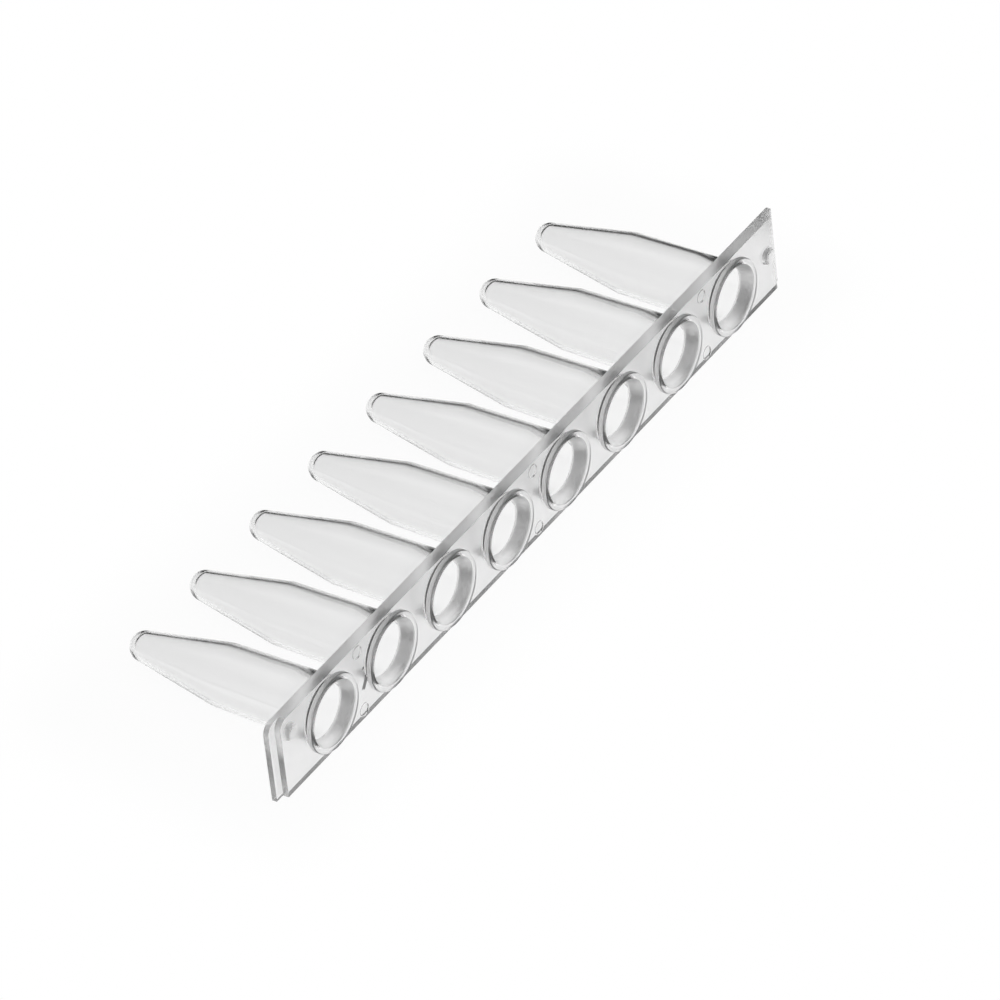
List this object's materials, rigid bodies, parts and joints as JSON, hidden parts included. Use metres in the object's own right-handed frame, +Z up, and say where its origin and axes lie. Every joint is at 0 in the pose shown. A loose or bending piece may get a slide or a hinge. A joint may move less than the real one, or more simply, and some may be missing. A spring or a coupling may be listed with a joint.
{
  "type": "pcr tube strip",
  "caption": "Clear plastic strip of small open conical reaction tubes joined in line by a thin plate, lying on its side with the mouths forward.",
  "frame": {"origin": "on the surface that the strip lies on, under the middle of its bounding box", "axes": "+X along the row of tubes, -Y the way the mouths face but for a few degrees of upward tip, +Z up"},
  "size_m": [0.079, 0.021, 0.008],
  "materials": {
    "clear_plastic": "clear, smooth, slightly satin polypropylene"
  },
  "bodies": {
    "root": {"tube_strip": "clear_plastic"}
  },
  "joints": []
}
